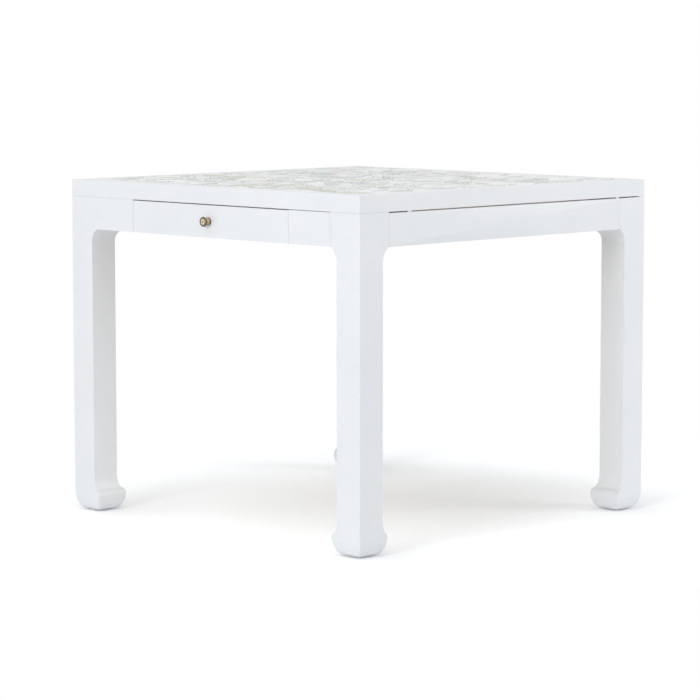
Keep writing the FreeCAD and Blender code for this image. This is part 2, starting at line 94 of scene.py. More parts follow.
class LegSizes(bpy.types.PropertyGroup):
    shoulder: size("Shoulder width", "Width of a leg beside the aprons",
                   edge("leg_front_left", 1, 0) - edge("leg_front_left", 0, 0))
    width: size("Leg width", "Width of a leg below the shoulder", 0.068)
    hoof: size("Hoof width", "Greatest width of the hoof", 0.083)
    crease: size("Crease width", "Width of the leg where the hoof begins to swell", 0.0735)
    sole_inset: size("Sole inset", "How far the sole lies in from the widest part", 0.016)
    sole_height: size("Sole height", "The sole above the floor", edge("foot_pads", 1, 2))
    hoof_height: size("Hoof height", "Height of the widest part", 0.037)
    crease_height: size("Crease height", "Height of the crease", 0.051)
    flare_height: size("Flare height", "Where the straight leg begins to flare", 0.080)
    curve_height: size("Curve height", "Height of the curve under the shoulder", 0.029)
    block_foot: size("Flat height", "Where the flat for the corner block begins",
                     edge("corner_block_front_left", 0, 2))
    flat_cut: size("Flat cut", "Wood cut off the inner corner for the corner block", 0.014)
    rebate_depth: size("Rebate depth", "Depth of the shadow line over two of the legs", 0.020)
    rebate_margin: size("Rebate margin", "Where that shadow line stops short of the corner", 0.021)
    arris_power: number("Arris power", "How square a section is: 2 is round, 100 nearly sharp", 90.0)
    sole_power: number("Sole power", "The same at the sole of the hoof", 12.0)


class BoardSizes(bpy.types.PropertyGroup):
    easing: size("Easing", "Radius of the sanded edges of aprons and top", 0.0009)
    inlay_easing: size("Panel easing", "Radius of the edges of the patterned panel", 0.0003)
    bevel: size("Drawer easing", "Radius of the sanded edges of drawers and inner pieces", 0.0006)
    mitre_gap: size("Mitre gap", "Hairline between two lippings at a corner", 0.00008)
    joint_gap: size("Joint gap", "Hairline in the lacquer where legs, aprons and top meet", 0.00006)


class KnobSizes(bpy.types.PropertyGroup):
    height: size("Knob height", "Middle of a knob above the floor",
                 (edge("front_knob", 0, 2) + edge("front_knob", 1, 2)) / 2)
    aside: number("Knob aside", "Middle of the front knob to the right of the table's, in metres",
                  (edge("front_knob", 0, 0) + edge("front_knob", 1, 0)) / 2)
    projection: size("Projection", "How far a knob stands out",
                     edge("front_knob", 1, 1) - edge("front_knob", 0, 1))
    head: size("Head radius", "Radius of the knob's head",
               (edge("front_knob", 1, 0) - edge("front_knob", 0, 0)) / 2)
    rim: size("Rim radius", "Radius of the rounded rim of the head", 0.0030)
    disc: size("Disc radius", "Radius of the disc inside the rim", 0.0072)
    dimple: size("Dimple radius", "Radius of the hollow in the middle", 0.0022)
    recess: size("Recess", "Depth of the disc below the rim", 0.0008)
    neck: size("Neck radius", "Radius of the waist", 0.0040)
    base: size("Base radius", "Radius of the flange against the drawer", 0.0085)
    base_thickness: size("Base thickness", "Thickness of that flange", 0.0022)


class Finishes(bpy.types.PropertyGroup):
    lacquer: colour("Lacquer", "White of the legs, aprons, edges and drawer fronts", "#EEF0F3")
    ground: colour("Panel ground", "Off-white ground of the patterned panel", "#F5F7F7")
    sage: colour("Sage", "Green wash of the leaves", "#BABD92")
    teal: colour("Blue-grey", "Blue-grey wash of the leaves", "#A7C1C3")
    sand: colour("Sand", "Faint sand stain in the ground", "#DAD8CC")
    pencil: colour("Outline", "Drawn outlines, veins and tendrils", "#6F7573")
    wood: colour("Wood", "Pale wood of the inner pieces", "#DFCDAD")
    grain: colour("Grain", "Darker lines in the wood", "#BA9C72")
    brass: colour("Brass", "Burnished brass of the knobs", "#E6D9B9")
    # Patina and painted shade: this brown also darkens the knob's rim as a painted reflection and
    # its neck and flange as painted shade
    patina_and_shade: colour("Patina", "Dark brass in the grooves", "#665A42")
    zinc: colour("Zinc", "Plating of screws, bolts and nuts", "#C3C6C9")
    felt: colour("Felt", "Glides under the feet", "#E6E4DE")


class StageSettings(bpy.types.PropertyGroup):
    azimuth: angle("Azimuth", "Camera's turn about the table, from the front", 44.88)
    elevation: angle("Elevation", "Camera's height as an angle", 6.401)
    distance: size("Distance", "Camera from its target", 6.421)
    aim_height: size("Aim height", "Height of the camera's target", 0.3643)
    aim_aside: number("Aim aside", "Target's place to the right of the middle, in metres", -0.0188)
    focal_length: number("Focal length", "Lens in millimetres on a 36 mm sensor", 145.39)
    ambient: number("Ambient", "Strength of the even light from all round", 0.54)
    overhead: number("Overhead", "Power of the soft lamp above the front, in watts", 56.0)
    front: number("Front", "Power of the large soft lamp before the table, in watts", 145.0)
    side: number("Side", "Power of the soft lamp at the far right, in watts", 48.0)
    floor: colour("Floor", "Plain pale floor", "#EDEFF1")
    floor_lift: number("Floor lift", "How far the camera sees the floor whiter than it is", 0.376)


# Mesh helpers


def closed_surface(name, rings):
    """Mesh of a stack of closed rings of points, each end drawn together to its middle.

    Neighbouring rings are joined by four-sided faces, and the two ends are fans round the mean
    of their ring. If the volume summed over the faces is negative, every face is turned over.
    """
    sharp_beyond = math.radians(40)
    rows, columns = rings.shape[:2]
    ends = rings[[0, -1]].mean(axis=1)
    points = np.concatenate([rings.reshape(-1, 3), ends])
    index = np.arange(rows * columns).reshape(rows, columns)
    after = np.roll(index, -1, axis=1)
    first = np.full(columns, rows * columns)
    last = first + 1
    quads = np.stack([index[:-1], after[:-1], after[1:], index[1:]], axis=-1).reshape(-1, 4)
    fans = np.concatenate([np.stack([after[0], index[0], first], axis=-1),
                           np.stack([index[-1], after[-1], last], axis=-1)])
    triangles = np.concatenate([quads[:, :3], quads[:, [0, 2, 3]], fans])
    corners = points[triangles]
    volume = np.einsum("ij,ij->", corners[:, 0], np.cross(corners[:, 1], corners[:, 2]))
    if volume < 0:
        quads = quads[:, ::-1]
        fans = fans[:, ::-1]
    mesh = bpy.data.meshes.new(name)
    mesh.from_pydata(points.tolist(), [], quads.tolist() + fans.tolist())
    mesh.shade_smooth()
    mesh.set_sharp_from_angle(angle=sharp_beyond)
    piece = bpy.data.objects.new(name, mesh)
    bpy.context.scene.collection.objects.link(piece)
    shading = piece.modifiers.new("Even shading", "WEIGHTED_NORMAL")
    shading.keep_sharp = True
    return piece


def arc(centre, radius, start, end, count):
    """Points on an arc in the plane, from one angle in degrees to another."""
    turn = np.radians(np.linspace(start, end, count))
    return np.stack([centre[0] + radius * np.cos(turn), centre[1] + radius * np.sin(turn)], axis=-1)


def turned(rings, quarters):
    """Points turned by quarters of a circle about the table's upright axis."""
    cosine = (1, 0, -1, 0)[quarters % 4]
    sine = (0, 1, 0, -1)[quarters % 4]
    x = rings[..., 0] * cosine - rings[..., 1] * sine
    y = rings[..., 0] * sine + rings[..., 1] * cosine
    return np.stack([x, y, rings[..., 2]], axis=-1)


def eased_board(low, high, radius):
    """Board with every edge rounded.

    A small ball is cut in eight, its pieces move to the board's corners, and flats join them:
    point = corner centre + radius * (sin a, cos a cos t, cos a sin t), with a along the board
    from one end to the other and t round it.
    """
    steps = 4
    rise = np.radians(np.linspace(0, 90, steps + 1))
    along = np.concatenate([rise - math.pi / 2, rise])
    end = np.repeat([low[0] + radius, high[0] - radius], steps + 1)
    quarter = np.repeat(np.arange(4), steps + 1)
    round_it = np.tile(rise, 4) + quarter * math.pi / 2
    y = np.where((quarter == 0) | (quarter == 3), high[1] - radius, low[1] + radius)
    z = np.where(quarter < 2, high[2] - radius, low[2] + radius)
    rings = np.empty((len(along), len(round_it), 3))
    rings[..., 0] = (end + radius * np.sin(along))[:, None]
    rings[..., 1] = y + radius * np.cos(along)[:, None] * np.cos(round_it)
    rings[..., 2] = z + radius * np.cos(along)[:, None] * np.sin(round_it)
    return rings


def finish_piece(piece, body, slot, material, *stands_for):
    """Puts a new piece on its body, gives it its finish and hides the CAD nodes it stands for."""
    piece.data.materials.append(material)
    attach(piece, body)
    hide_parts(*stands_for)


def ease_node(name, width, material):
    """Keeps a CAD node, rounds its sharp edges a little and gives it its finish."""
    node = CAD_NODES[name]
    for slot in node.material_slots:
        slot.material = material
    weld = node.modifiers.new("Join triangles", "WELD")
    weld.merge_threshold = 0.00001
    flat = node.modifiers.new("Whole flats", "DECIMATE")
    flat.decimate_type = "DISSOLVE"
    flat.angle_limit = math.radians(0.2)
    bevel = node.modifiers.new("Sanded edges", "BEVEL")
    bevel.width = width
    bevel.segments = 2
    bevel.limit_method = "ANGLE"
    bevel.angle_limit = math.radians(30)
    bevel.harden_normals = True


# Material helpers


def add(tree, kind, inputs=None, **settings):
    """Adds a shader node with its settings and inputs.

    An input is a plain value, a link, or a node whose first output is meant. Inputs go by name
    or by Blender's number: a Map Range has its range in at 1 and 2 and its range out at 3 and 4,
    and a colour Mix has its share at 0, its colours at 6 and 7 and its result at output 2.
    """
    node = tree.nodes.new("ShaderNode" + kind)
    for name, value in settings.items():
        setattr(node, name, value)
    for key, value in (inputs or {}).items():
        if isinstance(value, bpy.types.Node):
            value = value.outputs[0]
        if isinstance(value, bpy.types.NodeSocket):
            tree.links.new(value, node.inputs[key])
        else:
            node.inputs[key].default_value = value
    return node


def blank_material(name):
    """A new material, its empty node tree and the place of each point on the object."""
    material = bpy.data.materials.new(name)
    material.use_nodes = True
    tree = material.node_tree
    tree.nodes.clear()
    return material, tree, add(tree, "TexCoord").outputs["Object"]


def per_metre(millimetres):
    """Scale of a pattern that repeats every so many millimetres."""
    return 1000 / millimetres


def waves_per_metre(millimetres):
    """The same for a wave pattern, whose bands lie pi / 10 of a metre apart at scale 1."""
    return per_metre(millimetres) * math.pi / 10


# Materials


def satin_sprayed_lacquer():
    """White nitrocellulose lacquer, sprayed on sanded wood and rubbed to satin.

    The eye sees a calm white with slow clouds of slightly thinner coat, a sheen that shifts a
    little from place to place, and the faint peel of the spray. The real peel is about 1 mm
    across and is drawn at 3 mm so that it shows.
    """
    colours = bpy.context.scene.games_table_finishes
    material, tree, place = blank_material("satin_sprayed_lacquer")
    clouds = add(tree, "TexNoise", {"Vector": place, "Scale": per_metre(170), "Detail": 3.0})
    tint = add(tree, "MapRange", {"Value": clouds, 1: 0.3, 2: 0.7})
    thin = add(tree, "HueSaturation", {"Color": colours.lacquer, "Saturation": 1.2, "Value": 0.972})
    base = add(tree, "Mix", {0: tint, 6: colours.lacquer, 7: thin}, data_type="RGBA")
    rubbed = add(tree, "TexNoise",
                 {"Vector": place, "Scale": per_metre(40), "Detail": 4.0, "Roughness": 0.6})
    sheen = add(tree, "MapRange", {"Value": rubbed, 1: 0.3, 2: 0.7, 3: 0.34, 4: 0.44})
    peel = add(tree, "TexNoise", {"Vector": place, "Scale": per_metre(3)})
    bump = add(tree, "Bump", {"Height": peel, "Strength": 0.25, "Distance": 0.00012})
    shader = add(tree, "BsdfPrincipled",
                 {"Base Color": base.outputs[2], "Roughness": sheen, "Normal": bump, "IOR": 1.48})
    add(tree, "OutputMaterial", {"Surface": shader})
    return material


def leaf_layer(tree, place, spacing, offset, turn, slim):
    """One scatter of leaves: how much a point is inside a leaf, on its lines, and its own chance.

    The surface is divided into cells about spacing millimetres wide, and each holds one leaf.
    The cell's point is taken off, the rest is turned by the cell's own angle, and the blade is
    where |v| < slim (1 - u u)(1 + u / 2), with u along the leaf and v across it, which is bowed
    by a share of u u. Veins run out from the midrib at a slant. With its soft edges the outline
    is 3 mm wide and a vein 2 mm. Offset and turn keep the scatters from looking alike.
    """
    half_line = 1.5 / spacing
    half_leaves_per_cell = 1.9
    bow = 0.10
    vein_slant = 1.4
    half_vein_gap = 0.20
    scale = (per_metre(spacing), per_metre(spacing), 0.0)
    scaled = add(tree, "Mapping", {"Vector": place, "Location": offset, "Scale": scale})
    cell = add(tree, "TexVoronoi", {"Vector": scaled, "Scale": 1.0, "Randomness": 0.8},
               voronoi_dimensions="2D")
    chance = add(tree, "SeparateColor", {0: cell.outputs["Color"]})
    way = add(tree, "Math", {0: chance, 1: 2 * math.pi, 2: turn}, operation="MULTIPLY_ADD")
    local = add(tree, "VectorMath", {0: scaled, 1: cell.outputs["Position"]}, operation="SUBTRACT")
    spun = add(tree, "VectorRotate", {"Vector": local, "Angle": way}, rotation_type="Z_AXIS")
    parts = add(tree, "SeparateXYZ", {0: spun})
    u = add(tree, "Math", {0: parts, 1: half_leaves_per_cell}, operation="MULTIPLY")
    bend = add(tree, "Math", {0: u, 1: u}, operation="MULTIPLY")
    v = add(tree, "Math", {0: bend, 1: bow, 2: parts.outputs[1]}, operation="MULTIPLY_ADD")
    across = add(tree, "Math", {0: v}, operation="ABSOLUTE")
    taper = add(tree, "Math", {0: 1.0, 1: bend}, operation="SUBTRACT")
    skew = add(tree, "Math", {0: u, 1: 0.5, 2: 1.0}, operation="MULTIPLY_ADD")
    width = add(tree, "Math", {0: taper, 1: skew}, operation="MULTIPLY")
    inside = add(tree, "Math", {0: width, 1: slim}, operation="MULTIPLY")
    depth = add(tree, "Math", {0: inside, 1: across}, operation="SUBTRACT")
    blade = add(tree, "MapRange", {"Value": depth, 1: -0.004, 2: 0.012})
    rim = add(tree, "Math", {0: depth}, operation="ABSOLUTE")
    outline = add(tree, "MapRange", {"Value": rim, 1: half_line, 2: half_line * 0.4})
    midrib = add(tree, "MapRange", {"Value": across, 1: half_line * 0.7, 2: half_line * 0.3})
    slant = add(tree, "Math", {0: across, 1: -vein_slant, 2: u}, operation="MULTIPLY_ADD")
    comb = add(tree, "Math", {0: slant, 1: half_vein_gap}, operation="PINGPONG")
    veins = add(tree, "MapRange", {"Value": comb, 1: 2 * half_line, 2: half_line})
    lines = add(tree, "Math", {0: midrib, 1: veins}, operation="MAXIMUM")
    drawn = add(tree, "Math", {0: lines, 1: blade}, operation="MULTIPLY")
    drawn = add(tree, "Math", {0: drawn, 1: outline}, operation="MAXIMUM")
    return blade, drawn, chance


def printed_panel_under_lacquer():
    """Leafy line drawing with some washes of sage and blue-grey, under clear satin lacquer.

    The eye sees dark grey outlines of leaves in three sizes, each covering those behind it, a
    third of them filled with an uneven wash, loose tendrils between them, and one even sheen
    over all. The tendrils are strokes 1.2 mm wide at full strength and 3.2 mm with their soft
    edges, drawn by two sets of wavy bands and broken up by a noise.
    """
    colours = bpy.context.scene.games_table_finishes
    stroke_core, stroke_whole = 1.2, 3.2
    ink_strength = 0.85
    material, tree, place = blank_material("printed_panel_under_lacquer")
    wash = add(tree, "TexNoise",
               {"Vector": place, "Scale": per_metre(60), "Detail": 5.0, "Roughness": 0.6})
    uneven = add(tree, "MapRange", {"Value": wash, 1: 0.35, 2: 0.65, 3: 0.45})
    drift = add(tree, "TexNoise", {"Vector": place, "Scale": per_metre(240)})
    stain = add(tree, "MapRange", {"Value": drift, 1: 0.45, 2: 0.65, 4: 0.35})
    paint = add(tree, "Mix", {0: stain, 6: colours.ground, 7: colours.sand}, data_type="RGBA")
    for direction, wide, offset in (("X", 46, 0.0), ("Y", 58, 0.37)):
        moved = add(tree, "VectorMath", {0: place, 1: (offset, offset, 0.0)}, operation="ADD")
        curls = add(tree, "TexWave",
                    {"Vector": moved, "Scale": waves_per_metre(wide), "Distortion": 9.0,
                     "Detail": 1.5, "Detail Scale": 1.6},
                    bands_direction=direction, wave_profile="TRI")
        broken = add(tree, "TexNoise", {"Vector": moved, "Scale": per_metre(90), "Detail": 1.0})
        shown = add(tree, "MapRange", {"Value": broken, 1: 0.50, 2: 0.56, 4: 0.75})
        stroke = add(tree, "MapRange",
                     {"Value": curls.outputs["Fac"], 1: stroke_whole / wide, 2: stroke_core / wide})
        stem = add(tree, "Math", {0: stroke, 1: shown}, operation="MULTIPLY")
        paint = add(tree, "Mix", {0: stem, 6: paint.outputs[2], 7: colours.pencil},
                    data_type="RGBA")
    for spacing, offset, turn, slim, strength in (
            (150, (3.1, 7.4, 0.0), 0.4, 0.19, 0.80),
            (98, (11.7, 2.3, 0.0), 1.9, 0.17, 0.70),
            (64, (5.9, 15.2, 0.0), 3.3, 0.16, 0.60)):
        blade, drawn, chance = leaf_layer(tree, place, spacing, offset, turn, slim)
        dye = add(tree, "MapRange", {"Value": chance.outputs[1], 1: 0.42, 2: 0.58})
        tint = add(tree, "Mix", {0: dye, 6: colours.sage, 7: colours.teal}, data_type="RGBA")
        present = add(tree, "MapRange", {"Value": chance.outputs[2], 1: 0.10, 2: 0.12})
        filled = add(tree, "MapRange",
                     {"Value": chance.outputs[2], 1: 0.60, 2: 0.66, 3: 0.05, 4: strength})
        filled = add(tree, "Math", {0: filled, 1: uneven}, operation="MULTIPLY")
        leaf = add(tree, "Mix", {0: filled, 6: colours.ground, 7: tint.outputs[2]},
                   data_type="RGBA")
        cover = add(tree, "Math", {0: blade, 1: present}, operation="MULTIPLY")
        paint = add(tree, "Mix", {0: cover, 6: paint.outputs[2], 7: leaf.outputs[2]},
                    data_type="RGBA")
        ink = add(tree, "Math", {0: drawn, 1: present}, operation="MULTIPLY")
        ink = add(tree, "Math", {0: ink, 1: ink_strength}, operation="MULTIPLY")
        paint = add(tree, "Mix", {0: ink, 6: paint.outputs[2], 7: colours.pencil},
                    data_type="RGBA")
    rubbed = add(tree, "TexNoise",
                 {"Vector": place, "Scale": per_metre(50), "Detail": 3.0, "Roughness": 0.6})
    sheen = add(tree, "MapRange", {"Value": rubbed, 1: 0.3, 2: 0.7, 3: 0.36, 4: 0.46})
    bump = add(tree, "Bump", {"Height": wash, "Strength": 0.2, "Distance": 0.0001})
    shader = add(tree, "BsdfPrincipled",
                 {"Base Color": paint.outputs[2], "Roughness": sheen, "Normal": bump, "IOR": 1.48})
    add(tree, "OutputMaterial", {"Surface": shader})
    return material


def planed_poplar(name, turn):
    """Pale planed poplar, unfinished, with its grain along X before the turn.

    The eye sees long wavering year rings about 7 mm apart, fine pores along them, a few darker
    streaks, and a dry surface with no gloss. The rings lie round a line on the floor, so that a
    flat board shows them wide apart and an upright one as close straight lines. The pores are
    about 1 mm across and 70 mm long, and the streaks 17 mm and 500 mm.
    """
    colours = bpy.context.scene.games_table_finishes
    material, tree, place = blank_material(name)
    aligned = add(tree, "VectorRotate",
                  {"Vector": place, "Rotation": tuple(math.radians(step) for step in turn)},
                  rotation_type="EULER_XYZ")
    slow = add(tree, "Mapping", {"Vector": aligned, "Scale": (1.2, 8.0, 8.0)})
    warp = add(tree, "TexNoise", {"Vector": slow, "Scale": 2.0})
    wander = add(tree, "VectorMath",
                 {0: warp.outputs["Color"], 1: (0.0, 0.030, 0.030), 2: aligned},
                 operation="MULTIPLY_ADD")
    bands = add(tree, "TexWave", {"Vector": wander, "Scale": waves_per_metre(7)},
                wave_type="RINGS", rings_direction="X", wave_profile="SAW")
    fine = add(tree, "Mapping", {"Vector": aligned, "Scale": (14.0, 900.0, 900.0)})
    pores = add(tree, "TexNoise", {"Vector": fine, "Scale": 1.0, "Detail": 3.0, "Roughness": 0.7})
    long_marks = add(tree, "Mapping", {"Vector": aligned, "Scale": (2.0, 60.0, 60.0)})
    streaks = add(tree, "TexNoise", {"Vector": long_marks, "Scale": 1.0})
    ring = add(tree, "MapRange", {"Value": bands.outputs["Fac"], 1: 0.1, 2: 1.0, 4: 0.38})
    pore = add(tree, "MapRange", {"Value": pores, 1: 0.5, 2: 0.75, 4: 0.35})
    streak = add(tree, "MapRange", {"Value": streaks, 1: 0.45, 2: 0.75, 4: 0.35})
    dark = add(tree, "Math", {0: ring, 1: pore}, operation="ADD")
    dark = add(tree, "Math", {0: dark, 1: streak}, operation="ADD", use_clamp=True)
    base = add(tree, "Mix", {0: dark, 6: colours.wood, 7: colours.grain}, data_type="RGBA")
    rough = add(tree, "MapRange", {"Value": dark, 3: 0.52, 4: 0.68})
    bump = add(tree, "Bump", {"Height": pores, "Strength": 0.3, "Distance": 0.0002})
    shader = add(tree, "BsdfPrincipled",
                 {"Base Color": base.outputs[2], "Roughness": rough, "Normal": bump, "IOR": 1.45})
    add(tree, "OutputMaterial", {"Surface": shader})
    return material


def turned_antique_brass():
    """Brass turned on a lathe and burnished by hand, with dark patina left in the grooves.

    The eye sees a bright disc with fine lathe rings, and a darker brown in the groove inside the rim
    and in the dimple. The rounded rim is darkened as a painted reflection, and the neck and flange
    as painted shade under the head. The real rings are about 0.2 mm apart and are drawn at 0.6 mm.
    """
    colours = bpy.context.scene.games_table_finishes
    sizes = bpy.context.scene.games_table_knobs
    half_ring = 0.0003
    patina_and_shade_strength = 0.85
    material, tree, place = blank_material("turned_antique_brass")
    centred = add(tree, "Mapping", {"Vector": place, "Location": (0.0, 0.0, -sizes.height)})
    parts = add(tree, "SeparateXYZ", {0: centred})
    front = add(tree, "Math", {0: parts.outputs[1]}, operation="SIGN")
    aside = add(tree, "Math", {0: front, 1: sizes.aside, 2: parts.outputs[0]},
                operation="MULTIPLY_ADD")
    flat = add(tree, "CombineXYZ", {0: aside, 2: parts.outputs[2]})
    reach = add(tree, "VectorMath", {0: flat}, operation="LENGTH").outputs["Value"]
    depth = add(tree, "Math", {0: parts.outputs[1]}, operation="ABSOLUTE")
    face = edge("front_drawer_face", 0, 1)
    out = add(tree, "Math", {0: depth, 1: -face}, operation="SUBTRACT")
    # Painted shade: the neck and flange, behind the head, are darkened with the brown
    behind = add(tree, "MapRange",
                 {"Value": out, 1: sizes.projection - 2.2 * sizes.rim,
                  2: sizes.projection - 1.2 * sizes.rim, 3: 0.45, 4: 0.0})
    groove = add(tree, "Math", {0: reach, 1: sizes.disc}, operation="SUBTRACT")
    groove = add(tree, "Math", {0: groove}, operation="ABSOLUTE")
    groove = add(tree, "MapRange", {"Value": groove, 1: 0.0009, 2: 0.0003})
    dimple = add(tree, "MapRange",
                 {"Value": reach, 1: sizes.dimple * 1.15, 2: sizes.dimple * 0.8})
    # Painted reflection: the rounded rim outside the disc is darkened with the brown
    rim = add(tree, "MapRange",
              {"Value": reach, 1: sizes.disc, 2: sizes.disc + 0.3 * sizes.rim})
    # The dark share joins the darker groove and dimple with the painted rim reflection and the
    # painted neck shade
    dark = groove
    for hollow in (dimple, rim, behind):
        dark = add(tree, "Math", {0: dark, 1: hollow}, operation="MAXIMUM")
    spots = add(tree, "TexNoise",
                {"Vector": place, "Scale": per_metre(2.5), "Detail": 4.0, "Roughness": 0.6})
    worn = add(tree, "MapRange", {"Value": spots, 1: 0.4, 2: 0.8, 4: 0.3})
    dark = add(tree, "Math", {0: dark, 1: patina_and_shade_strength, 2: worn}, operation="MULTIPLY_ADD",
               use_clamp=True)
    base = add(tree, "Mix", {0: dark, 6: colours.brass, 7: colours.patina_and_shade}, data_type="RGBA")
    rough = add(tree, "MapRange", {"Value": dark, 3: 0.2, 4: 0.5})
    rings = add(tree, "Math", {0: reach, 1: half_ring}, operation="PINGPONG")
    bump = add(tree, "Bump", {"Height": rings, "Strength": 0.25, "Distance": 0.2})
    shader = add(tree, "BsdfPrincipled",
                 {"Base Color": base.outputs[2], "Roughness": rough, "Normal": bump,
                  "Metallic": 1.0})
    add(tree, "OutputMaterial", {"Surface": shader})
    return material


def zinc_plated_steel():
    """Cold-headed steel with bright zinc plating: a cool grey with small cloudy crystals."""
    colours = bpy.context.scene.games_table_finishes
    material, tree, place = blank_material("zinc_plated_steel")
    crystals = add(tree, "TexVoronoi", {"Vector": place, "Scale": per_metre(1.6)},
                   feature="SMOOTH_F1")
    haze = add(tree, "TexNoise",
               {"Vector": place, "Scale": per_metre(5), "Detail": 4.0, "Roughness": 0.6})
    dull = add(tree, "HueSaturation", {"Color": colours.zinc, "Value": 0.72})
    base = add(tree, "Mix", {0: haze, 6: colours.zinc, 7: dull}, data_type="RGBA")
    rough = add(tree, "MapRange", {"Value": crystals, 3: 0.28, 4: 0.46})
    bump = add(tree, "Bump", {"Height": haze, "Strength": 0.2, "Distance": 0.0001})
    shader = add(tree, "BsdfPrincipled",
                 {"Base Color": base.outputs[2], "Roughness": rough, "Normal": bump,
                  "Metallic": 1.0})
    add(tree, "OutputMaterial", {"Surface": shader})
    return material


def pressed_wool_felt():
    """Pressed wool felt: matted fibres, paler and darker, with a soft dull surface."""
    colours = bpy.context.scene.games_table_finishes
    material, tree, place = blank_material("pressed_wool_felt")
    fibres = add(tree, "TexNoise",
                 {"Vector": place, "Scale": per_metre(1.2), "Detail": 6.0, "Roughness": 0.8,
                  "Distortion": 1.5})
    dark = add(tree, "HueSaturation", {"Color": colours.felt, "Value": 0.6})
    base = add(tree, "Mix", {0: fibres, 6: colours.felt, 7: dark}, data_type="RGBA")
    bump = add(tree, "Bump", {"Height": fibres, "Strength": 0.8, "Distance": 0.0006})
    shader = add(tree, "BsdfPrincipled",
                 {"Base Color": base.outputs[2], "Roughness": 0.95, "Normal": bump,
                  "Sheen Weight": 0.4})
    add(tree, "OutputMaterial", {"Surface": shader})
    return material


def material(name, make, *values):
    """A material by name, made the first time that it is asked for."""
    return bpy.data.materials.get(name) or make(*values)


def lacquer():
    return material("satin_sprayed_lacquer", satin_sprayed_lacquer)


def wood_along(axis):
    """Wood with its grain along X, Y or a diagonal of the table."""
    name = "planed_poplar_" + axis
    turns = {"x": (0, 0, 0), "y": (0, 0, -90), "up_right": (0, 0, -45), "up_left": (0, 0, 45)}
    return material(name, planed_poplar, name, turns[axis])


# Legs


def upright_arc(height, from_height, from_width, to_height, to_width):
    """Width along an arc that stands upright at its first end."""
    across = to_width - from_width
    rise = to_height - from_height
    radius = (across * across + rise * rise) / (2 * abs(across))
    inset = radius - np.sqrt(np.maximum(radius * radius - (height - from_height) ** 2, 0))
    return from_width + math.copysign(1, across) * inset


def leg_rings(sizes, notched):
    """The front left leg, as distances in from the table's outer faces and heights.

    Below the hoof's widest part each face follows a quarter of an ellipse, from upright there to
    level at the sole: distance in = sole inset * (1 - square root of (1 - t t)), with t from 0 to
    1 on the way down. The crease, the flare and the curve under the shoulder are arcs.
    At each height the section is a square from the outer line to the inner line, with its
    corners rounded by a power n: point = middle + half width * (1, q) / (1 + |q|^n)^(1/n), with
    q from -1 to 1 along each of the four sides. n falls towards the sole, which rounds the
    hoof's corners more. The inner corner is cut to the flat for the corner block, and a
    notched leg has the shadow line let into its outer side. Where a face steps in, two rows or
    columns of points stand a hair apart.
    """
    hair = 0.00002
    wall_hair = 0.0005
    rounding_bias = 1.6
    head = edge("leg_front_left", 1, 2) - bpy.context.scene.games_table_boards.joint_gap
    shoulder_foot = edge("apron_right", 0, 2)
    curve_foot = shoulder_foot - sizes.curve_height
    notch = edge("apron_right", 1, 2)
    sole = sizes.sole_height
    heights = np.concatenate([
        sole + (sizes.hoof_height - sole) * (1 - np.cos(np.radians(np.linspace(0, 90, 15)))),
        np.linspace(sizes.hoof_height, sizes.crease_height, 8)[1:],
        np.linspace(sizes.crease_height, sizes.flare_height, 8)[1:],
        np.linspace(sizes.flare_height, curve_foot, 9)[1:],
        shoulder_foot - sizes.curve_height * np.cos(np.radians(np.linspace(0, 90, 11)))[1:],
        [sizes.block_foot - hair, sizes.block_foot + hair, notch - hair, notch + hair, head],
    ])
    below = np.clip((sizes.hoof_height - heights) / (sizes.hoof_height - sole), 0, 1)
    outer = sizes.sole_inset * (1 - np.sqrt(1 - below ** 2))
    tops = (sizes.hoof_height, sizes.crease_height, sizes.flare_height, curve_foot, shoulder_foot)
    inner = np.select([heights <= top for top in tops], [
        sizes.hoof - outer,
        upright_arc(heights, sizes.hoof_height, sizes.hoof, sizes.crease_height, sizes.crease),
        upright_arc(heights, sizes.flare_height, sizes.width, sizes.crease_height, sizes.crease),
        np.full_like(heights, sizes.width),
        upright_arc(heights, curve_foot, sizes.width, shoulder_foot, sizes.shoulder),
    ], sizes.shoulder)
    hoofed = np.clip((heights - sole) / (sizes.crease_height - sole), 0, 1)
    power = sizes.sole_power * (sizes.arris_power / sizes.sole_power) ** hoofed ** rounding_bias
    from_corner = np.array([0, 0.004, 0.009, 0.016, 0.026, 0.042, 0.07, 0.12, 0.22, 0.4, 0.7])
    wall = sizes.rebate_margin / (sizes.shoulder / 2) - 1
    q = np.concatenate([from_corner - 1, [wall - wall_hair, wall + wall_hair, 0.0],
                        1 - from_corner[:0:-1]])
    q = np.unique(np.round(q, 6))
    side = np.repeat(np.arange(4), len(q))
    along = np.tile(q, 4)
    reach_x = np.select([side == 0, side == 1, side == 2], [1.0, -along, -1.0], along)
    reach_y = np.select([side == 0, side == 1, side == 2], [along, 1.0, -along], -1.0)
    middle = ((outer + inner) / 2)[:, None]
    half_width = ((inner - outer) / 2)[:, None]
    shrink = (1 + np.abs(along) ** power[:, None]) ** (-1 / power[:, None])
    flat = 2 * sizes.shoulder - sizes.flat_cut
    inward = reach_x + reach_y
    limit = (flat - 2 * middle) / (half_width * np.maximum(inward, 0.001))
    above = (heights > sizes.block_foot)[:, None]
    shrink = np.where(above & (inward > 0), np.minimum(shrink, limit), shrink)
    x = middle + half_width * reach_x * shrink
    y = middle + half_width * reach_y * shrink
    if notched:
        cut = (heights > notch)[:, None] & (y > sizes.rebate_margin) & (x < sizes.rebate_depth)
        x = np.where(cut, sizes.rebate_depth - 0.01 * (sizes.rebate_depth - x), x)
    return np.stack([x, y, np.broadcast_to(heights[:, None], x.shape)], axis=-1)


